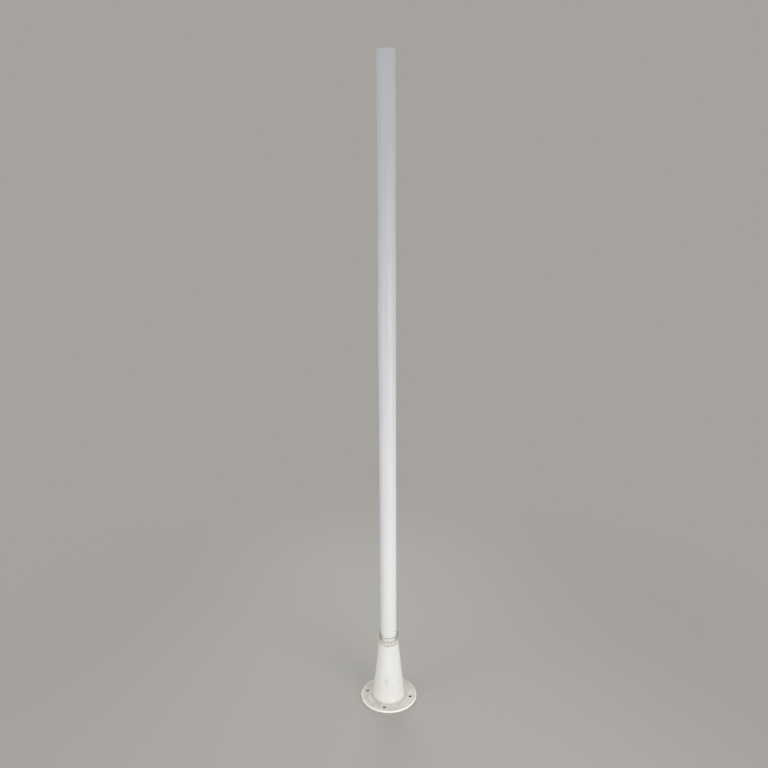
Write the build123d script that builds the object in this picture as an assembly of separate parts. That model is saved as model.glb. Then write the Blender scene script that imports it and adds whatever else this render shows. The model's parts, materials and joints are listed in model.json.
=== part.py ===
from build123d import *
import math
import os

# Lamp post: a white round tube that stands on a round plate, with a tapered steel cone round its foot.
# The origin is the centre of the plate's underside. +Z runs up the tube.
# The four bolt holes lie on the X and Y axes.

# Tube
post_height = 1880.0
tube_diameter = 48.3
tube_wall = 2.9
tube_edge_break = 0.4
tube_weld_leg = 4.0

# Flange plate
flange_diameter = 172.0
flange_thickness = 6.0
flange_top_rounding = 2.0
flange_bottom_edge_break = 0.8
bolt_circle_diameter = 135.0
bolt_hole_diameter = 9.0
bolt_hole_count = 4
bolt_hole_edge_break = 0.5
cable_hole_diameter = 40.0

# Cone: a sheet rolled and welded into a cone, cut square at both ends
cone_base_diameter = 97.6
cone_mouth_diameter = 60.3
cone_mouth_height = 192.0
cone_wall = 3.0
cone_mouth_edge_break = 0.8
cone_weld_leg = 2.5

# Neck ring: a turned ring between cone and tube. Its collar stands on the mouth of the cone.
collar_height = 13.0
collar_base_diameter = 58.8
collar_top_diameter = 56.0
collar_edge_break = 0.8
spigot_depth = 12.0
spigot_edge_break = 0.6

# Bead of sealant between the collar and the tube
bead_height = 11.0
bead_base_diameter = 54.8
bead_lip_width = 0.5
bead_hollow = 0.8
bead_hollow_height = 5.0

# Clearances of the fits, on the radius
tube_clearance = 0.15
spigot_clearance = 0.2

# Sizes that follow from the ones above
tube_radius = tube_diameter / 2
tube_bore_radius = tube_radius - tube_wall
flange_radius = flange_diameter / 2
cable_hole_radius = cable_hole_diameter / 2
cone_height = cone_mouth_height - flange_thickness
cone_taper = (cone_base_diameter - cone_mouth_diameter) / 2 / cone_height
ring_bore_radius = tube_radius + tube_clearance
collar_top_height = cone_mouth_height + collar_height
bead_top_height = collar_top_height + bead_height
bead_slope = (bead_base_diameter / 2 - tube_radius - bead_lip_width) / bead_height

# Share of a rounding's radius by which its middle lies inside the square corner
corner_inset = 1 - math.sqrt(0.5)

# Levels of a turned solid's round edges, in the order of their height
lowest = 0
highest = -1


def cone_radius(height):
    """Outer radius of the cone at a height above the ground."""
    return cone_base_diameter / 2 - cone_taper * (height - flange_thickness)


def outline(points):
    """Closed face in the XZ plane through points given as radius and height."""
    return Plane.XZ * make_face(Polyline(*points, close=True))


def turned(profile):
    """Solid that a face in the XZ plane makes when it is turned round the tube's axis."""
    return revolve(profile, axis=Axis.Z)


def rings(solid, level):
    """Round edges of a turned solid at its lowest or highest level, the smallest first."""
    return solid.edges().filter_by(GeomType.CIRCLE).group_by(Axis.Z)[level].sort_by(SortBy.RADIUS)


def make_flange_plate():
    """Round plate with a hole for the cable and a circle of holes for the ground bolts.

    The rounding of its top rim is made as two flat steps.
    """
    inset = flange_top_rounding * corner_inset
    plate = turned(outline([
        (cable_hole_radius, 0),
        (flange_radius, 0),
        (flange_radius, flange_thickness - flange_top_rounding),
        (flange_radius - inset, flange_thickness - inset),
        (flange_radius - flange_top_rounding, flange_thickness),
        (cable_hole_radius, flange_thickness),
    ]))
    plate = chamfer(rings(plate, lowest)[-1], flange_bottom_edge_break)
    drill = Cylinder(bolt_hole_diameter / 2, flange_thickness * 3)
    for place in PolarLocations(bolt_circle_diameter / 2, bolt_hole_count):
        plate -= place * drill
    return chamfer(rings(plate, highest)[:bolt_hole_count], bolt_hole_edge_break)


def make_foot_cone():
    """Hollow cone that stands on the plate round the tube."""
    cone = turned(outline([
        (cone_radius(flange_thickness) - cone_wall, flange_thickness),
        (cone_radius(flange_thickness), flange_thickness),
        (cone_radius(cone_mouth_height), cone_mouth_height),
        (cone_radius(cone_mouth_height) - cone_wall, cone_mouth_height),
    ]))
    return chamfer(rings(cone, highest)[-1], cone_mouth_edge_break)


def make_cone_weld():
    """Fillet weld, ground smooth, between the cone and the plate."""
    weld_top = flange_thickness + cone_weld_leg
    return turned(outline([
        (cone_radius(flange_thickness), flange_thickness),
        (cone_radius(flange_thickness) + cone_weld_leg, flange_thickness),
        (cone_radius(weld_top), weld_top),
    ]))


def make_neck_ring():
    """Ring that centres the tube in the cone, with a spigot below and a tapered collar above."""
    spigot_radius = cone_radius(cone_mouth_height) - cone_wall - spigot_clearance
    spigot_bottom = cone_mouth_height - spigot_depth
    ring = turned(outline([
        (ring_bore_radius, spigot_bottom),
        (spigot_radius, spigot_bottom),
        (spigot_radius, cone_mouth_height),
        (collar_base_diameter / 2, cone_mouth_height),
        (collar_top_diameter / 2, collar_top_height),
        (ring_bore_radius, collar_top_height),
    ]))
    ring = chamfer(rings(ring, lowest)[-1], spigot_edge_break)
    return chamfer(rings(ring, highest)[-1], collar_edge_break)


def make_sealant_bead():
    """Bead of sealant, drawn up the tube from the collar, with a hollow along its face."""
    hollow_radius = bead_base_diameter / 2 - bead_slope * bead_hollow_height - bead_hollow
    return turned(outline([
        (tube_radius, collar_top_height),
        (bead_base_diameter / 2, collar_top_height),
        (hollow_radius, collar_top_height + bead_hollow_height),
        (tube_radius + bead_lip_width, bead_top_height),
        (tube_radius, bead_top_height),
    ]))


def make_tube_weld():
    """Fillet weld inside the cone that holds the tube to the plate."""
    return turned(outline([
        (tube_radius, flange_thickness),
        (tube_radius + tube_weld_leg, flange_thickness),
        (tube_radius, flange_thickness + tube_weld_leg),
    ]))


def make_pole_tube():
    """Round tube, cut square, from the plate to the open top."""
    tube = turned(outline([
        (tube_bore_radius, flange_thickness),
        (tube_radius, flange_thickness),
        (tube_radius, post_height),
        (tube_bore_radius, post_height),
    ]))
    return chamfer(rings(tube, highest), tube_edge_break)


pieces = {
    "flange_plate": make_flange_plate(),
    "foot_cone": make_foot_cone(),
    "cone_weld": make_cone_weld(),
    "neck_ring": make_neck_ring(),
    "sealant_bead": make_sealant_bead(),
    "tube_weld": make_tube_weld(),
    "pole_tube": make_pole_tube(),
}
os.makedirs("parts", exist_ok=True)
for name, piece in pieces.items():
    export_step(piece, f"parts/{name}.step")
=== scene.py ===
import json
import math

import bmesh
import bpy
from bpy.props import FloatProperty, FloatVectorProperty, PointerProperty
from bpy.types import Operator, Panel, PropertyGroup
from mathutils import Matrix, Vector


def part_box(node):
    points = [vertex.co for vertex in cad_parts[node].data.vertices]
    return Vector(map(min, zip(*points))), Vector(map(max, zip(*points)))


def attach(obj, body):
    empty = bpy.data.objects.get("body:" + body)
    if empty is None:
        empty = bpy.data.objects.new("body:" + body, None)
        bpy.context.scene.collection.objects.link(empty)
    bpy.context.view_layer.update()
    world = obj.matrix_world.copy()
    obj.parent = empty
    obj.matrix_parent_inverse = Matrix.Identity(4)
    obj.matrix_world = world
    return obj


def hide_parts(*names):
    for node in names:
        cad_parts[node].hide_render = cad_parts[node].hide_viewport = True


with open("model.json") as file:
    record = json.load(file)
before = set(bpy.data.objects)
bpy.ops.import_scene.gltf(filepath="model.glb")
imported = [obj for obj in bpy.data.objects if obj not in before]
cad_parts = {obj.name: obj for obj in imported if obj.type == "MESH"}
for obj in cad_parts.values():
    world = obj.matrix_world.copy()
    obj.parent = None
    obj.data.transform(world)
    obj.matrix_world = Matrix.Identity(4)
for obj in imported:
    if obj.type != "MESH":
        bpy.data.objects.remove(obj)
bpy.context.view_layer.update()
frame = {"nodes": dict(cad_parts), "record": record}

bl_info = {
    "name": "Lamp Post",
    "version": (1, 0, 0),
    "blender": (4, 5, 0),
    "location": "3D View > Sidebar > Lamp Post",
    "description": "Dresses the lamp post: its paint, welds and sealant, and the stage that it stands on",
    "category": "Object",
}

MILLIMETRE = 0.001
BODY = "root"

# How close two places are that count as one
NEAR = 0.1 * MILLIMETRE

# Sizes of the carried-over solids in metres, and the number of bolt holes
TUBE_LOW, TUBE_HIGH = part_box("pole_tube")
TUBE_RADIUS, TUBE_TOP = TUBE_HIGH.x, TUBE_HIGH.z
FLANGE_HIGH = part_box("flange_plate")[1]
FLANGE_RADIUS, FLANGE_TOP = FLANGE_HIGH.x, FLANGE_HIGH.z
CONE_LOW, CONE_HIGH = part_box("foot_cone")
CONE_BASE_RADIUS, CONE_MOUTH = CONE_HIGH.x, CONE_HIGH.z
WELD_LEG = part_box("cone_weld")[1].x - CONE_BASE_RADIUS
RING_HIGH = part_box("neck_ring")[1]
COLLAR_RADIUS, COLLAR_TOP = RING_HIGH.x, RING_HIGH.z
BEAD_LOW, BEAD_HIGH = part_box("sealant_bead")
BEAD_RADIUS, BEAD_TOP = BEAD_HIGH.x, BEAD_HIGH.z
MOUNT_SIZES = {mount["name"]: mount["dims"] for mount in frame["record"]["mounts"]}
TUBE_BORE_RADIUS = MOUNT_SIZES["tube_bore"]["r_mm"] * MILLIMETRE
BOLT_CIRCLE_RADIUS = MOUNT_SIZES["base_bolts"]["pcd_mm"] / 2 * MILLIMETRE
BOLT_HOLE_RADIUS = MOUNT_SIZES["base_bolts"]["hole_r_mm"] * MILLIMETRE
BOLT_COUNT = MOUNT_SIZES["base_bolts"]["count"]

# Radius of the washers that rubbed the paint round the bolt holes
WASHER_RADIUS = 8.8 * MILLIMETRE

# Directions from the post's axis: to the side that the weather came from, and to the post's back
WEATHER_SIDE = (-0.98, -0.20, 0.0)
REAR_SIDE = (-0.21, 0.98, 0.0)

# Direction of the negative Y axis, in radians from the X axis, from which the stage's turns are measured
FRONT = -math.pi / 2

# Name of the attribute that is 1 along the upper edge of the sealant
LIP_MARK = "lip"

# Places of the Mix node's sockets when it mixes colours
SHARE, UNDER, OVER = 0, 6, 7

# Setting of a Map Range node whose mask starts and ends softly. Its inputs are a value, the two
# values between which the mask changes, and the mask at each of them.
SMOOTH = {"interpolation_type": "SMOOTHSTEP"}


def linear(hex_colour):
    """Linear red, green and blue of an sRGB colour written as six hex digits."""
    shares = [int(hex_colour[start:start + 2], 16) / 255 for start in (0, 2, 4)]
    return tuple(
        share / 12.92 if share <= 0.04045 else ((share + 0.055) / 1.055) ** 2.4
        for share in shares
    )


def cone_mouth_radius():
    """Outer radius of the cone at its mouth, as it would be without the broken edge."""
    points = [vertex.co for vertex in frame["nodes"]["foot_cone"].data.vertices]
    outer = [point for point in points if point.to_2d().length > COLLAR_RADIUS + 2 * NEAR]
    rim_height = max(point.z for point in outer)
    rim_radius = max(point.to_2d().length for point in outer if point.z > rim_height - NEAR)
    slope = (CONE_BASE_RADIUS - rim_radius) / (rim_height - CONE_LOW.z)
    return rim_radius - slope * (CONE_MOUTH - rim_height)


def cone_radius(height):
    """Outer radius of the cone at a height above the floor."""
    taper = (CONE_BASE_RADIUS - cone_mouth_radius()) / (CONE_MOUTH - CONE_LOW.z)
    return CONE_BASE_RADIUS - taper * (height - CONE_LOW.z)


def point_round_axis(radius, direction, height):
    """Point at a distance and direction, in radians, from the post's axis, and at a height."""
    return Vector((radius * math.cos(direction), radius * math.sin(direction), height))


# Settings that a user would change

def length(name, description, size, least=0.0, precision=3):
    """A length in metres for the sidebar."""
    return FloatProperty(
        name=name, description=description, default=size, min=least, unit="LENGTH", precision=precision)


def millimetres(name, description, size, least=0.0):
    """A length for the sidebar, written here in millimetres."""
    return length(name, description, size * MILLIMETRE, least * MILLIMETRE, precision=5)


def degrees(name, description, angle):
    """An angle for the sidebar, written here in degrees."""
    return FloatProperty(name=name, description=description, default=math.radians(angle), subtype="ANGLE")


def colour(name, description, hex_colour):
    """A colour for the sidebar, written here as six hex digits."""
    return FloatVectorProperty(
        name=name, description=description, default=linear(hex_colour), subtype="COLOR", min=0.0, max=1.0)


class LampPostSealantSettings(PropertyGroup):
    """Sizes of the bead of sealant between the collar and the tube."""

    bead_lip: millimetres("Lip", "Thickness of the bead's upper edge on the tube", 0.7, least=0.2)
    lip_rise: millimetres(
        "Lip rise", "How much higher than the plain bead the lip was drawn up the tube", 2)
    bead_hollow: millimetres(
        "Hollow", "Depth of the hollow that the fingertip left along the face", 0.3)
    smear_rise: millimetres(
        "Smear rise", "How far the smears at both sides reach up the tube above the bead", 9)
    smear_swell: millimetres(
        "Smear swell", "How much further the thickest smear stands out from the tube", 3.8)
    lump_height: millimetres("Lump height", "Depth of the unevenness that the fingertip left", 0.8)
    lump_size: millimetres("Lump size", "Distance from one lump to the next", 9, least=1)


class LampPostWeldSettings(PropertyGroup):
    """Sizes of the welds that show."""

    ripple_spacing: millimetres(
        "Ripple spacing", "Distance from one ripple of the fillet weld to the next", 3.2, least=1)
    ripple_height: millimetres("Ripple height", "Height of the weld's ripples under the paint", 0.22)
    seam_width: millimetres(
        "Cone seam width", "Width of the dressed seam on the back of the cone", 6.5, least=3)
    seam_rise: millimetres("Cone seam rise", "How far the dressed seam stands proud of the cone", 0.30)
    seam_angle: degrees(
        "Cone seam place", "Direction of the cone's seam from the X axis, seen from above", 104)
    tube_seam_width: millimetres("Tube seam width", "Width of the seam inside the tube", 2.4, least=0.5)
    tube_seam_rise: millimetres("Tube seam rise", "How far the seam stands into the tube's bore", 0.7)
    tube_seam_angle: degrees(
        "Tube seam place", "Direction of the tube's seam from the X axis, seen from above", 118)


class LampPostPaintSettings(PropertyGroup):
    """Colours of the finishes."""

    tube_colour: colour("Tube paint", "Powder coat of the tube, a cool white", "E4E5E7")
    cone_colour: colour("Cone paint", "Enamel of the cone, a warmer white", "E7E7E5")
    flange_colour: colour("Plate paint", "Enamel of the plate where it is clean", "F7F4EE")
    dirt_colour: colour("Dirt", "Dust and ground-in dirt on the plate", "D0CBC3")
    ring_colour: colour("Collar paint", "Handled, greyed paint of the collar", "DAD8D4")
    sealant_colour: colour("Sealant", "Greyed white sealant", "DEDCD8")
    grime_colour: colour("Grime", "Dark grime in the joints", "6E675B")


class LampPostStageSettings(PropertyGroup):
    """Floor, lamps and camera."""

    floor_radius: length("Floor radius", "Radius of the round floor", 9.0, least=1.0)
    floor_colour: colour("Floor", "Pale floor round the foot", "AEABA6")
    backdrop_colour: colour("Backdrop", "What the camera sees far off and above the floor", "A6A39E")
    sky_colour: colour("Room light colour", "Colour of the even light from all round", "FAFCFF")
    sky_strength: FloatProperty(
        name="Room light", description="Strength of the even light from all round", default=0.70, min=0.0)
    lamp_colour: colour("Lamp colour", "Colour of the large soft lamps", "FFFCF6")
    lamp_power: FloatProperty(
        name="Lamp power", description="Power of the strongest lamp, in front on the right",
        default=6.8, min=0.0, unit="POWER")
    lamp_size: length("Lamp size", "Diameter of the round lamps", 1.5, least=0.1)
    lamp_distance: length(
        "Lamp distance", "Distance of the lamps from the post's axis, along the floor", 2.0, least=0.5)
    lamp_height: length("Lamp height", "Height of the lamps' middles above the floor", 0.6)
    lamp_aim: length("Lamp aim", "Height on the post that the lamps are aimed at", 0.15)
    lamp_spread: degrees("Lamp spread", "How wide the lamps' honeycombs let the light out", 92)
    camera_bearing: degrees(
        "Camera bearing", "Direction of the camera round the post, from the negative Y axis", 11.96)
    camera_distance: length(
        "Camera distance", "Distance from the post's axis to the camera, along the floor", 2.130, least=0.1)
    camera_height: length("Camera height", "Height of the camera above the floor", 1.592)
    camera_pitch: degrees("Camera pitch", "How far the camera looks down", 15.285)
    camera_turn: degrees("Camera turn", "How far the camera aims to the left of the post", 0.259)
    camera_roll: degrees("Camera roll", "How far the camera is held clockwise", 0.330)
    camera_lens: FloatProperty(
        name="Lens", description="Focal length on a sensor 36 mm wide", default=37.03, min=1.0)


# Helpers

def clear_selection():
    """Leaves nothing selected, so that the next operator acts on its own primitive alone."""
    if bpy.context.object and bpy.context.object.mode != "OBJECT":
        bpy.ops.object.mode_set(mode="OBJECT")
    bpy.ops.object.select_all(action="DESELECT")


def open_primitive(size=(1, 1, 1)):
    """Stretches the new primitive to its size and opens it in edit mode."""
    piece = bpy.context.object
    bpy.ops.transform.resize(value=size)
    bpy.ops.object.transform_apply(location=True, rotation=True, scale=True)
    bpy.ops.object.mode_set(mode="EDIT")
    return piece


def choose(kind, wanted):
    """Selects in edit mode the vertices, edges or faces (kind) whose middle passes a test."""
    piece = bpy.context.object
    bpy.ops.mesh.select_all(action="DESELECT")
    bpy.ops.mesh.select_mode(type={"verts": "VERT", "edges": "EDGE", "faces": "FACE"}[kind])
    mesh = bmesh.from_edit_mesh(piece.data)
    for element in getattr(mesh, kind):
        if kind == "verts":
            middle = element.co
        else:
            middle = sum((vertex.co for vertex in element.verts), Vector()) / len(element.verts)
        element.select_set(wanted(middle))
    mesh.select_flush_mode()
    bmesh.update_edit_mesh(piece.data)


def bearing(point):
    """Direction of a point round the tube's axis, in radians from the X axis."""
    return math.atan2(point.y, point.x)


def turn_between(first, second):
    """The smaller turn between two directions, in radians, never negative."""
    return abs((first - second + math.pi) % (2 * math.pi) - math.pi)


def face_outwards():
    """Turns the faces of the whole piece outwards."""
    bpy.ops.mesh.select_all(action="SELECT")
    bpy.ops.mesh.normals_make_consistent(inside=False)


def spin_round(steps):
    """Spins the piece's outline once round the tube's axis and closes it into a ring."""
    bpy.ops.mesh.select_all(action="SELECT")
    bpy.ops.mesh.spin(
        steps=steps, dupli=False, angle=2 * math.pi, use_auto_merge=False,
        center=(0, 0, 0), axis=(0, 0, 1))
    bpy.ops.mesh.select_all(action="SELECT")
    bpy.ops.mesh.remove_doubles(threshold=0.02 * MILLIMETRE)
    face_outwards()


def finish_piece(piece, name, material, smooth_degrees):
    """Names the finished piece, gives it its material, smooths it and makes it ride on the body."""
    piece.name = name
    piece.data.name = name
    bpy.ops.object.transform_apply(location=True, rotation=True, scale=True)
    bpy.ops.object.shade_smooth_by_angle(angle=math.radians(smooth_degrees))
    piece.data.materials.clear()
    piece.data.materials.append(material)
    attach(piece, BODY)


def paint_solid(name, material):
    """Gives a carried-over solid its material."""
    materials = frame["nodes"][name].data.materials
    materials.clear()
    materials.append(material)


def add(tree, kind, inputs=(), **settings):
    """Adds a shader node with its settings, and with its inputs by name or in the node's order.

    Each input gets a value, a colour in hex digits, a link or a node's first output in use.
    """
    node = tree.nodes.new("ShaderNode" + kind)
    for name, value in settings.items():
        setattr(node, name, value)
    for key, value in inputs.items() if isinstance(inputs, dict) else enumerate(inputs):
        socket = node.inputs[key]
        if isinstance(value, str):
            value = linear(value)
        if isinstance(value, bpy.types.Node):
            value = next(output for output in value.outputs if output.enabled)
        if isinstance(value, bpy.types.NodeSocket):
            tree.links.new(value, socket)
        elif socket.type == "RGBA":
            socket.default_value = (*value, 1.0)
        else:
            socket.default_value = value
    return node


# What the finishes share

def new_finish(name):
    """A material of that name, its empty tree, and the object coordinates to work with."""
    material = bpy.data.materials.new(name)
    material.use_nodes = True
    tree = material.node_tree
    tree.nodes.clear()
    return material, tree, add(tree, "TexCoord").outputs["Object"]


def close_finish(material, coat, dullness, relief, depth, **more):
    """Wires a material to its shader, with a relief that is depth millimetres deep, and returns it."""
    tree = material.node_tree
    bump = add(tree, "Bump", {"Strength": 1.0, "Distance": depth * MILLIMETRE, "Height": relief})
    shader = add(tree, "BsdfPrincipled", {"Base Color": coat, "Roughness": dullness, "Normal": bump, **more})
    add(tree, "OutputMaterial", {"Surface": shader})
    return material


def height_and_radius(tree, place):
    """Height of a point above the floor, and its distance from the tube's axis."""
    parts = add(tree, "SeparateXYZ", {"Vector": place}).outputs
    flat = add(tree, "CombineXYZ", {"X": parts["X"], "Y": parts["Y"]})
    return parts["Z"], add(tree, "VectorMath", (flat,), operation="LENGTH")


def clouds(tree, place, size, stretch=(1, 1, 1), shift=(0, 0, 0), detail=3.0, roughness=0.5):
    """Cloudy pattern round 0.5, its blotches about size millimetres apart, stretched along each axis."""
    spread = add(tree, "Mapping", {
        "Vector": place, "Location": shift,
        "Scale": tuple(1 / (size * MILLIMETRE) / share for share in stretch)})
    return add(tree, "TexNoise", {"Vector": spread, "Scale": 1.0, "Detail": detail, "Roughness": roughness})


def patches(tree, place, size, start, full, least=0.0, most=1.0, **shape):
    """Mask of blotches: least where the clouds are below start, and most where they are above full."""
    return add(tree, "MapRange", (clouds(tree, place, size, **shape), start, full, least, most), **SMOOTH)


def towards(tree, place, side, start, full, least=0.0, most=1.0):
    """Mask that grows from least to most towards one side, between two distances from the axis."""
    reach = add(tree, "VectorMath", (place, side), operation="DOT_PRODUCT")
    return add(tree, "MapRange", (reach, start, full, least, most), **SMOOTH)


def spot(tree, place, ragged, middle, size, strength):
    """Mask of one smudge round a point, with a ragged edge that ends some size millimetres from it."""
    size *= MILLIMETRE
    away = add(tree, "VectorMath", (place, middle), operation="DISTANCE")
    reach = add(tree, "Math", (ragged, -size, away), operation="MULTIPLY_ADD")
    return add(tree, "MapRange", (reach, -0.2 * size, 0.55 * size, strength, 0.0), **SMOOTH)


def joint_dirt(tree, place, height, level, side, line, shift):
    """Mask of the grime along a joint: a fine dark line at its level, and broken dirt up or down (side)."""
    above = add(tree, "Math", (height, level), operation="SUBTRACT")
    away = add(tree, "Math", (above, side), operation="MULTIPLY")
    at_line = add(tree, "MapRange", (away, 0.25 * MILLIMETRE, 0.8 * MILLIMETRE, line, 0.0), **SMOOTH)
    gaps = patches(tree, place, 7, 0.38, 0.62, least=0.25, shift=shift, detail=4.0)
    broken_line = add(tree, "Math", (at_line, gaps), operation="MULTIPLY")
    beside = add(tree, "MapRange", (away, 0.5 * MILLIMETRE, 3.2 * MILLIMETRE, 1.0, 0.0), **SMOOTH)
    crumbs = patches(tree, place, 5, 0.42, 0.72, most=0.45, shift=shift, detail=6.0, roughness=0.7)
    broken_dirt = add(tree, "Math", (beside, crumbs), operation="MULTIPLY")
    return add(tree, "Math", (broken_line, broken_dirt), operation="MAXIMUM")


def lay(tree, under, over, *masks):
    """Lays one colour over another where all its masks let it through."""
    share = masks[0]
    for mask in masks[1:]:
        share = add(tree, "Math", (share, mask), operation="MULTIPLY")
    return add(tree, "Mix", {SHARE: share, UNDER: under, OVER: over}, data_type="RGBA")


def mottled(tree, cloud, under, over, dull, start=0.35, full=0.65):
    """A colour with another in clouds, and the dullness, between two values, that goes with them."""
    least, most = dull
    share = add(tree, "MapRange", (cloud, start, full), **SMOOTH)
    dullness = add(tree, "MapRange", (cloud, 0.3, 0.7, least, most))
    return lay(tree, under, over, share), dullness


def duller(tree, least, most, full, *masks):
    """Dullness that grows from least to most as the strongest of its masks grows to full."""
    strongest = masks[0]
    for mask in masks[1:]:
        strongest = add(tree, "Math", (strongest, mask), operation="MAXIMUM")
    return add(tree, "MapRange", (strongest, 0.0, full, least, most), **SMOOTH)


# Finishes

def make_tube_paint(colours):
    """Powder-coated steel tube, sprayed and baked.

    To the eye it is an even cool white with a soft sheen and a fine orange peel. It is handled a
    little grey here and there, and inside the bore it is bare zinc with overspray near the top.
    """
    material, tree, place = new_finish("powder_coated_steel_tube")
    height, radius = height_and_radius(tree, place)

    # The coat is a shade thinner and cooler in clouds, some 270 mm apart along the tube
    tint = patches(tree, place, 90, 0.35, 0.65, stretch=(1, 1, 3))
    coat = lay(tree, colours.tube_colour, "E1E3E6", tint)

    # Handling: faint long streaks of grey, and small scuffs that are drawn larger than real ones to show
    streak = patches(tree, place, 12, 0.52, 0.75, most=0.30, stretch=(1, 1, 14), detail=4.0)
    coat = lay(tree, coat, "D3D2CF", streak)
    scuff = patches(tree, place, 16, 0.66, 0.74, most=0.35, stretch=(1, 1, 2), detail=6.0,
                    roughness=0.65, shift=(3, 1, 7))
    coat = lay(tree, coat, "B9B7B2", scuff)

    # Grime that settled on the tube just above the sealant
    settled = add(tree, "MapRange", (
        height, BEAD_TOP + 2 * MILLIMETRE, BEAD_TOP + 12 * MILLIMETRE, 1.0, 0.0), **SMOOTH)
    patchy = patches(tree, place, 11, 0.42, 0.70, least=0.03, most=0.30, detail=4.0)
    coat = lay(tree, coat, "C9C6BC", settled, patchy)

    # Inside: zinc, with overspray that fades out some 100 mm below the top
    inside = add(tree, "MapRange", (
        radius, TUBE_BORE_RADIUS + 0.4 * MILLIMETRE, TUBE_BORE_RADIUS + 0.8 * MILLIMETRE, 1.0, 0.0), **SMOOTH)
    spangle = patches(tree, place, 6, 0.35, 0.68, detail=5.0, roughness=0.7)
    zinc = lay(tree, "8E9090", "6E6A66", spangle)
    fringe = clouds(tree, place, 20)
    ragged_height = add(tree, "Math", (fringe, 50 * MILLIMETRE, height), operation="MULTIPLY_ADD")
    overspray = add(tree, "MapRange", (
        ragged_height, TUBE_TOP - 75 * MILLIMETRE, TUBE_TOP + 20 * MILLIMETRE, 0.0, 0.85), **SMOOTH)
    zinc = lay(tree, zinc, "CFCFCC", overspray)
    coat = lay(tree, coat, zinc, inside)

    # A few chips along the cut edge at the top, where the zinc shows
    edge = add(tree, "MapRange", (height, TUBE_TOP - 2.0 * MILLIMETRE, TUBE_TOP - 0.6 * MILLIMETRE), **SMOOTH)
    chip = patches(tree, place, 4.5, 0.65, 0.69, detail=4.0)
    chipped = add(tree, "Math", (edge, chip), operation="MULTIPLY")
    coat = lay(tree, coat, "989590", chipped)

    # The zinc inside and in the chips is half covered, so it counts as metal by half
    bare = add(tree, "Math", (inside, chipped), operation="MAXIMUM")
    metal = add(tree, "Math", (bare, 0.5), operation="MULTIPLY")
    dullness = duller(tree, 0.38, 0.58, 0.6, scuff, streak, inside)

    # Orange peel: waves of 2.5 mm in the coat, over a trace of the tube's drawing lines
    drawn = clouds(tree, place, 1.8, stretch=(1, 1, 60), detail=2.0)
    peel = add(tree, "Math", (drawn, 0.4, clouds(tree, place, 2.5, detail=2.0)), operation="MULTIPLY_ADD")
    return close_finish(material, coat, dullness, peel, depth=0.06, Metallic=metal)


def make_cone_paint(colours):
    """Brushed-on enamel over rolled steel sheet.

    To the eye it is a smooth warm white, shinier than the tube, with faint runs, a few grey
    smudges low at the front and grime in the joints at both ends.
    """
    material, tree, place = new_finish("enamelled_steel_cone")
    height = height_and_radius(tree, place)[0]
    tint = patches(tree, place, 50, 0.35, 0.68, stretch=(1, 1, 2))
    coat = lay(tree, colours.cone_colour, "E2E2DF", tint)
    run = patches(tree, place, 9, 0.50, 0.75, most=0.45, stretch=(1, 1, 12), shift=(1, 5, 2))
    coat = lay(tree, coat, "DAD8D3", run)

    # Smudges where a boot or a box rubbed: direction round the cone in degrees, height and size in
    # millimetres, and strength of each
    smudges = (
        (-89.5, 79, 8.5, 0.28),
        (-112, 57, 10, 0.11),
        (-84, 66, 6, 0.12),
        (-42, 164, 6, 0.14),
        (150, 90, 7, 0.30),
        (35, 48, 6, 0.30),
    )
    ragged = clouds(tree, place, 4, detail=5.0, roughness=0.7)
    for direction, level, size, strength in smudges:
        level *= MILLIMETRE
        middle = point_round_axis(cone_radius(level), math.radians(direction), level)
        coat = lay(tree, coat, "A7A39A", spot(tree, place, ragged, middle, size, strength))

    # Dirt low down, next to the plate, and grime in the joint under the collar
    foot = add(tree, "MapRange", (height, FLANGE_TOP, FLANGE_TOP + 11 * MILLIMETRE, 0.4, 0.0), **SMOOTH)
    foot_patch = patches(tree, place, 8, 0.30, 0.70, least=0.2, detail=4.0)
    coat = lay(tree, coat, colours.dirt_colour, foot, foot_patch)
    coat = lay(tree, coat, colours.grime_colour,
               joint_dirt(tree, place, height, CONE_MOUTH, -1, 0.45, (4, 4, 4)))
    dullness = duller(tree, 0.30, 0.55, 0.8, run, foot)

    # Brush marks down the cone, and slow waves of the sheet beneath
    brushed = clouds(tree, place, 1.6, stretch=(1, 1, 30))
    relief = add(tree, "Math", (clouds(tree, place, 14, detail=2.0), 2.0, brushed), operation="MULTIPLY_ADD")
    return close_finish(material, coat, dullness, relief, depth=0.07)


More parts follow.
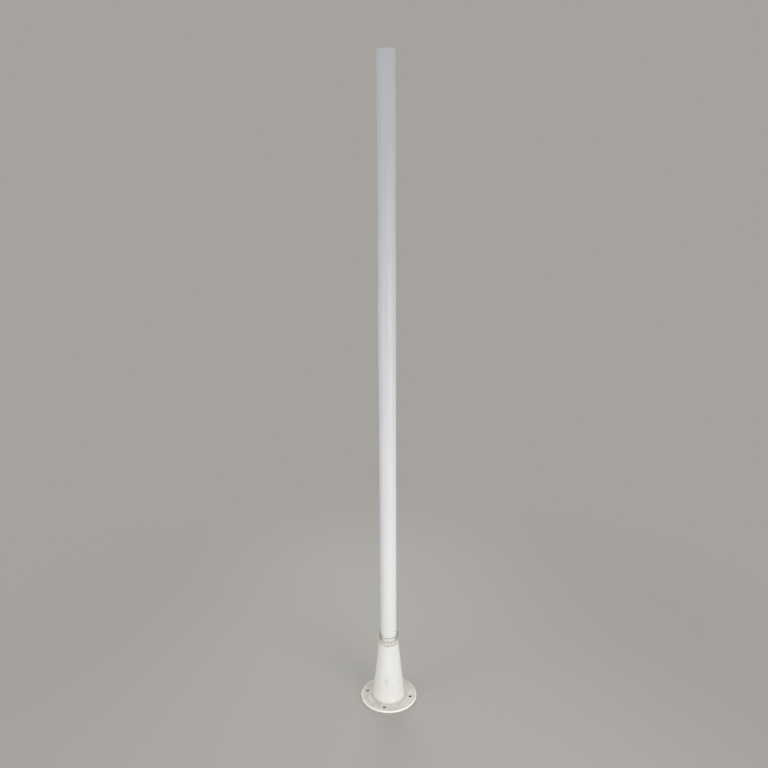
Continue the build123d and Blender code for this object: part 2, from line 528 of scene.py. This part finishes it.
def make_plate_paint(colours):
    """Enamelled steel plate, walked on and rained on.

    To the eye its top is a rough beige with dark grit and rings of rubbed paint round the bolt
    holes, while its clean rim is still bright and serves as a painted highlight. Painted shade lies
    against the cone and behind it, and rust with painted shade darkens the holes.
    """
    material, tree, place = new_finish("enamelled_steel_plate")
    height, radius = height_and_radius(tree, place)

    # Dirt covers the top face, greyer and thicker on the side where the rain drove it against the foot
    top_face = add(tree, "MapRange", (
        height, FLANGE_TOP - 0.9 * MILLIMETRE, FLANGE_TOP - 0.1 * MILLIMETRE), **SMOOTH)
    thickness = towards(tree, place, WEATHER_SIDE, 5 * MILLIMETRE, 60 * MILLIMETRE, least=0.12)
    tint = patches(tree, place, 22, 0.32, 0.68, detail=5.0, roughness=0.6)
    dirt = lay(tree, colours.dirt_colour, "DAD6CF", tint)
    dirt = lay(tree, dirt, "BEB7AA", thickness,
               patches(tree, place, 16, 0.25, 0.62, most=0.62, shift=(1, 8, 4), detail=5.0))
    grit = patches(tree, place, 3.2, 0.56, 0.69, most=0.70, detail=4.0, roughness=0.7)
    dirt = lay(tree, dirt, "8C8272", grit, thickness)
    cover = patches(tree, place, 13, 0.25, 0.55, least=0.62, detail=4.0, shift=(2, 6, 1))

    # The dirt ends some 3 mm inside the rim, which stays bright all round; this clean band is also a painted
    # highlight along the rounded rim
    off_clean_highlit_rim = add(tree, "MapRange", (
        radius, FLANGE_RADIUS - 3.2 * MILLIMETRE, FLANGE_RADIUS - 1.6 * MILLIMETRE, 1.0, 0.1), **SMOOTH)
    coat = lay(tree, colours.flange_colour, dirt, cover, top_face, off_clean_highlit_rim)

    # Painted shade against the sides and back of the cone, where the joint is shaded, with some dirt in it
    cone_joint_shade_and_dirt = add(tree, "MapRange", (
        radius, CONE_BASE_RADIUS + 1 * MILLIMETRE, CONE_BASE_RADIUS + 11 * MILLIMETRE, 0.5, 0.0), **SMOOTH)
    beside = towards(tree, place, REAR_SIDE, -50 * MILLIMETRE, -15 * MILLIMETRE)
    coat = lay(tree, coat, "AFA799", cone_joint_shade_and_dirt, beside, top_face)
    # Painted shade over the plate behind the cone, in blotches
    behind = towards(tree, place, REAR_SIDE, 5 * MILLIMETRE, 60 * MILLIMETRE, most=0.6)
    shade_blotches = patches(tree, place, 20, 0.25, 0.60, least=0.55, shift=(6, 2, 9), detail=5.0)
    coat = lay(tree, coat, "B3ACA0", behind, shade_blotches, top_face, off_clean_highlit_rim)

    # Bolt holes: paint rubbed by the edge of a washer, and rust in the hole and along its edge, dark enough
    # to also paint the shade inside the hole
    flat = add(tree, "VectorMath", (place, (1, 1, 0)), operation="MULTIPLY")
    nearest = FLANGE_RADIUS
    for index in range(BOLT_COUNT):
        middle = point_round_axis(BOLT_CIRCLE_RADIUS, 2 * math.pi * index / BOLT_COUNT, 0.0)
        away = add(tree, "VectorMath", (flat, middle), operation="DISTANCE")
        nearest = add(tree, "Math", (away, nearest), operation="MINIMUM")
    off_edge = add(tree, "Math", (nearest, WASHER_RADIUS), operation="SUBTRACT")
    either_side = add(tree, "Math", (off_edge,), operation="ABSOLUTE")
    washer_edge = add(tree, "MapRange", (either_side, 0.5 * MILLIMETRE, 1.6 * MILLIMETRE, 1.0, 0.0), **SMOOTH)
    rubbed = patches(tree, place, 9, 0.40, 0.65, most=0.45, shift=(7, 0, 0))
    coat = lay(tree, coat, "9C9487", washer_edge, rubbed)
    ragged = clouds(tree, place, 3, detail=5.0, roughness=0.7)
    reach = add(tree, "Math", (ragged, -1.4 * MILLIMETRE, nearest), operation="MULTIPLY_ADD")
    rust = add(tree, "MapRange", (
        reach, BOLT_HOLE_RADIUS - 0.8 * MILLIMETRE, BOLT_HOLE_RADIUS - 0.2 * MILLIMETRE, 0.8, 0.0), **SMOOTH)
    coat = lay(tree, coat, "5C4636", rust)

    # Rim: bright, with a few knocks that went through the paint
    rim = add(tree, "MapRange", (
        radius, FLANGE_RADIUS - 1.2 * MILLIMETRE, FLANGE_RADIUS - 0.2 * MILLIMETRE), **SMOOTH)
    knock = patches(tree, place, 12, 0.64, 0.68, detail=6.0, roughness=0.7, shift=(0, 9, 3))
    coat = lay(tree, coat, "85705D", rim, knock)

    # Underside: scraped paint with earth on it
    below = add(tree, "MapRange", (height, 0.2 * MILLIMETRE, 1.1 * MILLIMETRE, 1.0, 0.0), **SMOOTH)
    earth = patches(tree, place, 34, 0.30, 0.66, least=0.45, most=0.85, detail=6.0, roughness=0.7)
    coat = lay(tree, coat, "8A7F70", below, earth)

    dullness = duller(tree, 0.34, 0.72, 1.0, top_face, rust)
    rough_share = add(tree, "Math", (top_face, 0.25), operation="MAXIMUM")
    crust = clouds(tree, place, 2.4, detail=4.0, roughness=0.65)
    relief = add(tree, "Math", (crust, rough_share), operation="MULTIPLY")
    return close_finish(material, coat, dullness, relief, depth=0.22)


def make_ring_paint(colours):
    """Turned steel ring under handled paint.

    To the eye it is greyer than the cone and patchy, yellowed on the weather side, with dark joints
    above and below.
    """
    material, tree, place = new_finish("painted_turned_ring")
    height = height_and_radius(tree, place)[0]
    cloud = clouds(tree, place, 12, detail=5.0, roughness=0.6)
    coat, dullness = mottled(
        tree, cloud, colours.ring_colour, "C9C6C1", dull=(0.45, 0.65), start=0.36, full=0.64)
    yellowed = towards(
        tree, place, WEATHER_SIDE, 0.15 * COLLAR_RADIUS, 0.9 * COLLAR_RADIUS, least=0.04, most=0.55)
    coat = lay(tree, coat, "CDC8AE", yellowed,
               patches(tree, place, 10, 0.35, 0.60, least=0.3, shift=(5, 2, 0)))

    # One dark spot at the front, on the lower joint
    middle = point_round_axis(COLLAR_RADIUS, math.radians(-80), CONE_MOUTH + 1 * MILLIMETRE)
    ragged = clouds(tree, place, 3, detail=5.0, roughness=0.7)
    coat = lay(tree, coat, "8F8A7F", spot(tree, place, ragged, middle, 5, 0.8))

    # Grime in the joints with the cone and with the sealant
    for level, side, line, shift in ((CONE_MOUTH, 1, 0.6, (0, 3, 8)), (COLLAR_TOP, -1, 0.5, (2, 7, 5))):
        coat = lay(tree, coat, colours.grime_colour,
                   joint_dirt(tree, place, height, level, side, line, shift))

    # Turning marks: fine rings 0.6 mm apart, half filled by the paint
    rings = clouds(tree, place, 0.6, stretch=(80, 80, 1), detail=1.0)
    relief = add(tree, "Math", (cloud, 2.0, rings), operation="MULTIPLY_ADD")
    return close_finish(material, coat, dullness, relief, depth=0.08)


def make_sealant(colours):
    """Silicone joint sealant, drawn on with a gun and smoothed with a wet fingertip.

    To the eye it is a greyed white with a dull skin that has picked up dirt. It is darker at both sides,
    with painted shade over the smears' dirt, and along its lip, with dirt and painted shade in its crease.
    """
    material, tree, place = new_finish("tooled_joint_sealant")
    height = height_and_radius(tree, place)[0]
    cloud = clouds(tree, place, 10, detail=5.0, roughness=0.6)
    skin, dullness = mottled(tree, cloud, colours.sealant_colour, "CDCAC5", dull=(0.42, 0.60))
    yellowed = towards(tree, place, WEATHER_SIDE, 0.2 * TUBE_RADIUS, TUBE_RADIUS, most=0.4)
    skin = lay(tree, skin, "CDC8AE", yellowed)

    # Both sides, left and right of the front, are darker: painted shade of the sides over the dirt on the
    # smears. The joint with the collar picked up dirt too.
    weather = add(tree, "VectorMath", (place, WEATHER_SIDE), operation="DOT_PRODUCT")
    sideways = add(tree, "Math", (weather,), operation="ABSOLUTE")
    side_dirt_and_shade = add(tree, "MapRange", (sideways, 0.66 * TUBE_RADIUS, TUBE_RADIUS, 0.0, 0.88), **SMOOTH)
    skin = lay(tree, skin, "8A867B", side_dirt_and_shade,
               patches(tree, place, 14, 0.34, 0.58, least=0.72, shift=(3, 3, 1), detail=5.0))
    skin = lay(tree, skin, "8B867B", joint_dirt(tree, place, height, COLLAR_TOP, 1, 0.5, (8, 1, 2)))
    # The lip is darker, with dirt and painted shade in its crease against the tube
    mark = add(tree, "Attribute", attribute_name=LIP_MARK).outputs["Fac"]
    lip = add(tree, "MapRange", (mark, 0.10, 0.65, 0.0, 0.85), **SMOOTH)
    skin = lay(tree, skin, "928E84", lip)
    return close_finish(material, skin, dullness, clouds(tree, place, 1.2), depth=0.08, IOR=1.41)


def make_weld_paint(colours):
    """Weld under enamel, dressed with a grinder before painting.

    To the eye its softened ripples are nearly lost under the plate's dirt, so the white of the cone
    ends above it.
    """
    material, tree, place = new_finish("enamelled_dressed_weld")
    height = height_and_radius(tree, place)[0]
    cloud = clouds(tree, place, 10, detail=4.0)
    coat, dullness = mottled(tree, cloud, colours.cone_colour, "DBD9D4", dull=(0.36, 0.52))
    low = add(tree, "MapRange", (
        height, FLANGE_TOP + 0.5 * MILLIMETRE, FLANGE_TOP + 3.0 * MILLIMETRE, 1.0, 0.35), **SMOOTH)
    coat = lay(tree, coat, colours.dirt_colour, low)
    grinding = clouds(tree, place, 0.9, stretch=(1, 1, 6))
    return close_finish(material, coat, dullness, grinding, depth=0.07)


def make_bare_weld():
    """Bare mild steel weld, as laid.

    To the eye it is a dull grey with brown heat tints and a start of rust.
    """
    material, tree, place = new_finish("bare_steel_weld")
    cloud = clouds(tree, place, 4, detail=5.0, roughness=0.65)
    tint = add(tree, "MapRange", (cloud, 0.35, 0.65), **SMOOTH)
    steel = lay(tree, "7A7977", "6A655E", tint)
    rust = patches(tree, place, 6, 0.50, 0.70, most=0.7, detail=5.0, shift=(1, 2, 3))
    steel = lay(tree, steel, "6B4A33", rust)
    metal = add(tree, "MapRange", (rust, 0.0, 0.7, 0.8, 0.1))
    dullness = add(tree, "MapRange", (rust, 0.0, 0.7, 0.42, 0.8))
    return close_finish(material, steel, dullness, cloud, depth=0.12, Metallic=metal)


# Pieces

class LAMPPOST_OT_paint_solids(Operator):
    """Give the carried-over solids their finishes."""

    bl_idname = "lamppost.paint_solids"
    bl_label = "Paint Solids"

    def execute(self, context):
        colours = context.scene.lamp_post_paint
        paint_solid("pole_tube", make_tube_paint(colours))
        paint_solid("foot_cone", make_cone_paint(colours))
        paint_solid("flange_plate", make_plate_paint(colours))
        paint_solid("neck_ring", make_ring_paint(colours))
        paint_solid("tube_weld", make_bare_weld())
        return {"FINISHED"}


class LAMPPOST_OT_add_sealant(Operator):
    """Add the bead of sealant, smoothed by hand, between the collar and the tube."""

    bl_idname = "lamppost.add_sealant"
    bl_label = "Add Sealant"

    # How far the bead reaches into the tube and the collar, so that no gap shows
    overlap = 0.3 * MILLIMETRE

    # Steps of the bead round the tube, and cuts in its slope
    steps_round = 120
    slope_cuts = 4

    # The fingertip left the bead higher and thicker at both sides, steep in front and running out
    # towards the back: direction and reach to each side in degrees, and shares of the settings' rise
    # and swell
    smears = (
        (-168, 46, 0.47, 0.36),
        (174, 63, 0.42, 0.26),
        (21, 34, 0.50, 0.70),
        (33, 47, 0.46, 0.50),
    )

    # Steps from a smear's edge to the level part in its middle, and that part's share of its reach
    smear_steps = 16
    smear_middle = 0.2

    # Shares of the bead's height that keep their place in the smears, and in the smoothing after them
    firm_share = 0.1
    rough_share = 0.2

    def execute(self, context):
        sizes = context.scene.lamp_post_sealant
        inner = TUBE_RADIUS - self.overlap
        low, top = BEAD_LOW.z - self.overlap, BEAD_TOP + sizes.lip_rise
        width, rise = BEAD_RADIUS - inner, top - low
        middle_radius, middle_height = inner + width / 2, low + rise / 2
        lip_radius = TUBE_RADIUS + sizes.bead_lip

        # A plate stands on edge beside the tube, as wide and high as the bead's section
        clear_selection()
        bpy.ops.mesh.primitive_plane_add(
            size=1, location=(middle_radius, 0, middle_height), rotation=(math.radians(90), 0, 0))
        piece = open_primitive((width, 1, rise))

        # Its upper outer corner is drawn in to the lip, and its slope is cut in five and hollowed
        choose("verts", lambda at: at.x > middle_radius and at.z > middle_height)
        bpy.ops.transform.translate(value=(lip_radius - BEAD_RADIUS, 0, 0))
        choose("edges", lambda at: at.x > inner + NEAR and abs(at.z - middle_height) < NEAR)
        bpy.ops.mesh.subdivide(number_cuts=self.slope_cuts)
        choose("verts", lambda at: at.x > inner + NEAR and abs(at.z - middle_height) < rise / 4)
        bpy.ops.transform.translate(value=(-sizes.bead_hollow, 0, 0))
        choose("faces", lambda at: True)
        bpy.ops.mesh.delete(type="ONLY_FACE")
        spin_round(self.steps_round)
        self.mark_lip(piece, top)
        for smear in self.smears:
            self.raise_smear(sizes, smear, low, rise, lip_radius)
        choose("verts", lambda at: at.z > low + self.rough_share * rise
               and at.to_2d().length > inner + NEAR)
        bpy.ops.mesh.vertices_smooth(factor=0.5, repeat=5)
        face_outwards()
        bpy.ops.object.mode_set(mode="OBJECT")

        # Lumps of a fingertip's width
        rounding = piece.modifiers.new("rounding", "SUBSURF")
        rounding.levels = rounding.render_levels = 2
        pattern = bpy.data.textures.new("sealant_lumps", "CLOUDS")
        pattern.noise_scale = sizes.lump_size
        pattern.noise_depth = 2
        lumps = piece.modifiers.new("lumps", "DISPLACE")
        lumps.texture = pattern
        lumps.texture_coords = "LOCAL"
        lumps.strength = sizes.lump_height
        lumps.mid_level = 0.6
        for modifier in (rounding.name, lumps.name):
            bpy.ops.object.modifier_apply(modifier=modifier)
        finish_piece(piece, "sealant_hand_bead", make_sealant(context.scene.lamp_post_paint), 50)
        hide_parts("sealant_bead")
        return {"FINISHED"}

    def mark_lip(self, piece, top):
        """Marks the lip while it is still level, so that its dirt follows it."""
        mesh = bmesh.from_edit_mesh(piece.data)
        mark = mesh.verts.layers.float.new(LIP_MARK)
        for vertex in mesh.verts:
            vertex[mark] = float(vertex.co.z > top - NEAR)
        bmesh.update_edit_mesh(piece.data)

    def raise_smear(self, sizes, smear, low, rise, lip_radius):
        """Draws the bead up and out at one place, in steps that narrow towards the smear's middle."""
        direction, reach, rise_share, swell_share = smear
        taller = (1 + sizes.smear_rise * rise_share / rise) ** (1 / self.smear_steps)
        wider = (1 + sizes.smear_swell * swell_share / TUBE_RADIUS) ** (1 / self.smear_steps)
        for step in range(self.smear_steps):
            # The share of the way in goes by the S-shaped smooth step read backwards, for soft shoulders
            way_in = 0.5 - math.sin(math.asin(1 - 2 * (step + 0.5) / self.smear_steps) / 3)
            part = math.radians(reach) * (1 - (1 - self.smear_middle) * way_in)
            choose("verts", lambda at: at.z > low + self.firm_share * rise
                   and turn_between(bearing(at), math.radians(direction)) < part)
            bpy.ops.transform.resize(value=(1, 1, taller), center_override=(0, 0, low))
            choose("verts", lambda at: at.z > low + self.firm_share * rise
                   and at.to_2d().length > lip_radius + NEAR
                   and turn_between(bearing(at), math.radians(direction)) < part)
            bpy.ops.transform.resize(value=(wider, wider, 1), center_override=(0, 0, low))


class LAMPPOST_OT_add_cone_weld(Operator):
    """Add the rippled fillet weld between the cone and the plate."""

    bl_idname = "lamppost.add_cone_weld"
    bl_label = "Add Cone Weld"

    # The weld's round section: its corners, and as shares of the weld's leg its radius and how far
    # its middle lies from the cone and the plate
    corners = 10
    radius_share = 0.62
    offset_share = 0.22

    # Steps from one crest of the ripples to the next: the crest has a half crest on both sides
    steps_each = 4
    crests = ((1.0, 0), (0.55, 1), (0.55, 3))

    def execute(self, context):
        sizes = context.scene.lamp_post_weld
        offset = WELD_LEG * self.offset_share
        ripples = round(2 * math.pi * (CONE_BASE_RADIUS + WELD_LEG / 2) / sizes.ripple_spacing)
        steps = ripples * self.steps_each

        # A small ring of corners stands in the corner between cone and plate
        clear_selection()
        bpy.ops.mesh.primitive_circle_add(
            vertices=self.corners, radius=WELD_LEG * self.radius_share, fill_type="NOTHING",
            location=(CONE_BASE_RADIUS + offset, 0, FLANGE_TOP + offset), rotation=(math.radians(90), 0, 0))
        piece = open_primitive()
        spin_round(steps)
        for share, shift in self.crests:
            choose("verts", lambda at: round(bearing(at) / (2 * math.pi) * steps) % self.steps_each == shift)
            bpy.ops.transform.shrink_fatten(value=sizes.ripple_height * share)
        face_outwards()
        bpy.ops.object.mode_set(mode="OBJECT")
        finish_piece(piece, "cone_weld_rippled", make_weld_paint(context.scene.lamp_post_paint),
                     60)
        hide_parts("cone_weld")
        return {"FINISHED"}


class LAMPPOST_OT_add_cone_seam(Operator):
    """Add the dressed seam where the cone's rolled sheet meets, at the back."""

    bl_idname = "lamppost.add_cone_seam"
    bl_label = "Add Cone Seam"

    # Gaps that the seam leaves below and above
    foot_gap = 0.5 * MILLIMETRE
    mouth_gap = 1.2 * MILLIMETRE

    # How deep the seam's flat back lies under the cone's surface
    sink = 0.25 * MILLIMETRE

    # Width of the back and of the edges' rounding as shares of the seam's, and of the ridge as one
    # of the back's
    back_share = 1.15
    edge_share = 0.12
    ridge_share = 0.3

    # Short lengths along the seam, every second one higher, and the sideways wander of the welder's hand
    lengths = 46
    ripple = 0.05 * MILLIMETRE
    wander = 0.35 * MILLIMETRE
    wander_turns = 5.5

    def execute(self, context):
        sizes = context.scene.lamp_post_weld
        foot_height = FLANGE_TOP + self.foot_gap
        mouth_height = CONE_MOUTH - self.mouth_gap
        foot_radius, mouth_radius = cone_radius(foot_height), cone_radius(mouth_height)
        lean = math.atan((foot_radius - mouth_radius) / (mouth_height - foot_height))
        slope = math.hypot(foot_radius - mouth_radius, mouth_height - foot_height)
        depth = sizes.seam_rise + self.sink

        # A flat bar, as long as the cone's slope, is narrowed to a ridge along its outer face
        clear_selection()
        bpy.ops.mesh.primitive_cube_add(size=1, location=(0, 0, 0))
        piece = open_primitive((depth, self.back_share * sizes.seam_width, slope))
        choose("verts", lambda at: at.x > 0)
        bpy.ops.transform.resize(value=(1, self.ridge_share, 1), center_override=(0, 0, 0))
        choose("edges", lambda at: at.x > depth / 2 - NEAR and abs(at.z) < NEAR)
        bpy.ops.mesh.bevel(offset=self.edge_share * sizes.seam_width, segments=2, affect="EDGES")

        # It is cut into short lengths, which rise and wander a little
        levels = [slope * (index / self.lengths - 0.5) for index in range(self.lengths + 1)]
        for level in levels[1:-1]:
            bpy.ops.mesh.select_all(action="SELECT")
            bpy.ops.mesh.bisect(plane_co=(0, 0, level), plane_no=(0, 0, 1))
        for index, level in enumerate(levels):
            drift = self.wander * math.sin(self.wander_turns * 2 * math.pi * index / self.lengths)
            choose("verts", lambda at: at.x > 0 and abs(at.z - level) < NEAR)
            bpy.ops.transform.translate(value=(self.ripple * (index % 2), drift, 0))
        bpy.ops.object.mode_set(mode="OBJECT")

        # The bar is leant against the cone and turned to its place
        piece.matrix_world = (
            Matrix.Rotation(sizes.seam_angle, 4, "Z")
            @ Matrix.Translation((
                (foot_radius + mouth_radius) / 2 + (sizes.seam_rise - depth / 2) * math.cos(lean),
                0,
                (foot_height + mouth_height) / 2,
            ))
            @ Matrix.Rotation(-lean, 4, "Y")
        )
        paint = frame["nodes"]["foot_cone"].data.materials[0]
        finish_piece(piece, "cone_seam", paint, 40)
        return {"FINISHED"}


class LAMPPOST_OT_add_tube_seam(Operator):
    """Add the seam that runs down the inside of the welded tube."""

    bl_idname = "lamppost.add_tube_seam"
    bl_label = "Add Tube Seam"

    # Gap that the seam leaves at both ends of the tube
    end_gap = 0.6 * MILLIMETRE

    # Rounding of its inner edges, as a share of its width
    edge_share = 0.42

    def execute(self, context):
        sizes = context.scene.lamp_post_weld
        low, high = TUBE_LOW.z + self.end_gap, TUBE_TOP - self.end_gap
        middle = (low + high) / 2

        # A long bar lies half in the bore's wall, and its inner edges are rounded
        clear_selection()
        bpy.ops.mesh.primitive_cube_add(size=1, location=(TUBE_BORE_RADIUS, 0, middle))
        piece = open_primitive((2 * sizes.tube_seam_rise, sizes.tube_seam_width, high - low))
        choose("edges", lambda at: at.x < TUBE_BORE_RADIUS - NEAR and abs(at.z - middle) < NEAR)
        bpy.ops.mesh.bevel(offset=self.edge_share * sizes.tube_seam_width, segments=3, affect="EDGES")
        bpy.ops.object.mode_set(mode="OBJECT")
        piece.matrix_world = Matrix.Rotation(sizes.tube_seam_angle, 4, "Z")
        paint = frame["nodes"]["pole_tube"].data.materials[0]
        finish_piece(piece, "tube_inner_seam", paint, 60)
        return {"FINISHED"}


# Stage

class LAMPPOST_OT_set_stage(Operator):
    """Set the pale floor, the soft lamps and the camera."""

    bl_idname = "lamppost.set_stage"
    bl_label = "Set Stage"

    # Distances from the post between which the floor passes into the backdrop
    fade_start = 0.35
    fade_end = 1.7

    # Name of each lamp, its direction from the camera's in degrees, and its share of the power
    lamps = (("right_lamp", 38, 1.0), ("left_lamp", -58, 0.50), ("back_lamp", 185, 0.75))

    def execute(self, context):
        stage = context.scene.lamp_post_stage
        self.lay_floor(stage)
        self.fill_world(context.scene, stage)
        self.hang_lamps(stage)
        self.place_camera(context.scene, stage)
        context.scene.view_settings.view_transform = "Standard"
        return {"FINISHED"}

    def seen_directly(self, tree):
        """1 for the rays that show a thing to the camera, straight or by gloss or glass."""
        path = add(tree, "LightPath").outputs
        seen = add(tree, "Math", (path["Is Camera Ray"], path["Is Glossy Ray"]), operation="MAXIMUM")
        return add(tree, "Math", (seen, path["Is Transmission Ray"]), operation="MAXIMUM")

    def lay_floor(self, stage):
        """A round floor that passes into the backdrop's colour away from the post."""
        clear_selection()
        bpy.ops.mesh.primitive_circle_add(
            vertices=128, radius=stage.floor_radius, fill_type="NGON", location=(0, 0, 0))
        floor = bpy.context.object
        floor.name = "floor"
        material, tree, place = new_finish("plain_matt_floor")
        radius = height_and_radius(tree, place)[1]
        far = add(tree, "MapRange", (radius, self.fade_start, self.fade_end), **SMOOTH)
        faded = add(tree, "Math", (far, self.seen_directly(tree)), operation="MULTIPLY")
        matt = add(tree, "BsdfPrincipled", {"Base Color": stage.floor_colour, "Roughness": 0.9})
        glow = add(tree, "Emission", {"Color": stage.backdrop_colour, "Strength": 1.0})
        mixed = add(tree, "MixShader", {"Fac": faded, 1: matt, 2: glow})
        add(tree, "OutputMaterial", {"Surface": mixed})
        floor.data.materials.append(material)

    def fill_world(self, scene, stage):
        """Even light from all round; the camera, gloss and glass see the backdrop's colour instead."""
        scene.world = bpy.data.worlds.new("studio")
        scene.world.use_nodes = True
        tree = scene.world.node_tree
        tree.nodes.clear()
        light = add(tree, "Background", {"Color": stage.sky_colour, "Strength": stage.sky_strength})
        shown = add(tree, "Background", {"Color": stage.backdrop_colour, "Strength": 1.0})
        mixed = add(tree, "MixShader", {"Fac": self.seen_directly(tree), 1: light, 2: shown})
        add(tree, "OutputWorld", {"Surface": mixed})

    def hang_lamps(self, stage):
        """Large soft lamps on both sides and behind, low down, so that the top gets a little less light."""
        aim = Vector((0, 0, stage.lamp_aim))
        for name, offset, share in self.lamps:
            turn = stage.camera_bearing + math.radians(offset)
            place = point_round_axis(stage.lamp_distance, FRONT + turn, stage.lamp_height)
            clear_selection()
            bpy.ops.object.light_add(type="AREA", location=place)
            lamp = bpy.context.object
            lamp.name = name
            lamp.visible_camera = False
            lamp.data.shape = "DISK"
            lamp.data.size = stage.lamp_size
            lamp.data.spread = stage.lamp_spread
            lamp.data.color = stage.lamp_colour
            lamp.data.energy = stage.lamp_power * share
            lamp.rotation_euler = (aim - place).to_track_quat("-Z", "Y").to_euler()

    def place_camera(self, scene, stage):
        """The camera where the photograph was taken from."""
        turn = stage.camera_bearing
        place = point_round_axis(stage.camera_distance, FRONT + turn, stage.camera_height)
        clear_selection()
        bpy.ops.object.camera_add(location=place)
        camera = bpy.context.object
        camera.name = "camera"
        camera.matrix_world = (
            Matrix.Translation(place)
            @ Matrix.Rotation(turn + stage.camera_turn, 4, "Z")
            @ Matrix.Rotation(math.radians(90) - stage.camera_pitch, 4, "X")
            @ Matrix.Rotation(-stage.camera_roll, 4, "Z")
        )
        camera.data.sensor_width = 36.0
        camera.data.lens = stage.camera_lens
        scene.camera = camera


class LAMPPOST_PT_sidebar(Panel):
    """Lists the steps that dress the lamp post, with their settings."""

    bl_idname = "LAMPPOST_PT_sidebar"
    bl_label = "Lamp Post"
    bl_space_type = "VIEW_3D"
    bl_region_type = "UI"
    bl_category = "Lamp Post"

    def draw(self, context):
        for name, settings_class, operators in STEPS:
            box = self.layout.box()
            for key in settings_class.__annotations__:
                box.prop(getattr(context.scene, name), key)
            for operator in operators:
                box.operator(operator.bl_idname)


# Each step's settings, under their name on the scene, and its operators
STEPS = (
    ("lamp_post_paint", LampPostPaintSettings, (LAMPPOST_OT_paint_solids,)),
    ("lamp_post_sealant", LampPostSealantSettings, (LAMPPOST_OT_add_sealant,)),
    ("lamp_post_weld", LampPostWeldSettings, (
        LAMPPOST_OT_add_cone_weld, LAMPPOST_OT_add_cone_seam, LAMPPOST_OT_add_tube_seam)),
    ("lamp_post_stage", LampPostStageSettings, (LAMPPOST_OT_set_stage,)),
)


def register():
    """Registers the settings, the operators and the panel."""
    for name, settings_class, operators in STEPS:
        bpy.utils.register_class(settings_class)
        setattr(bpy.types.Scene, name, PointerProperty(type=settings_class))
        for operator in operators:
            bpy.utils.register_class(operator)
    bpy.utils.register_class(LAMPPOST_PT_sidebar)


def unregister():
    """Takes the panel, the operators and the settings away again."""
    bpy.utils.unregister_class(LAMPPOST_PT_sidebar)
    for name, settings_class, operators in reversed(STEPS):
        for operator in reversed(operators):
            bpy.utils.unregister_class(operator)
        delattr(bpy.types.Scene, name)
        bpy.utils.unregister_class(settings_class)


def main():
    """Dresses the post step by step."""
    register()
    bpy.ops.lamppost.paint_solids()
    bpy.ops.lamppost.add_sealant()
    bpy.ops.lamppost.add_cone_weld()
    bpy.ops.lamppost.add_cone_seam()
    bpy.ops.lamppost.add_tube_seam()
    bpy.ops.lamppost.set_stage()


if __name__ == "__main__":
    main()
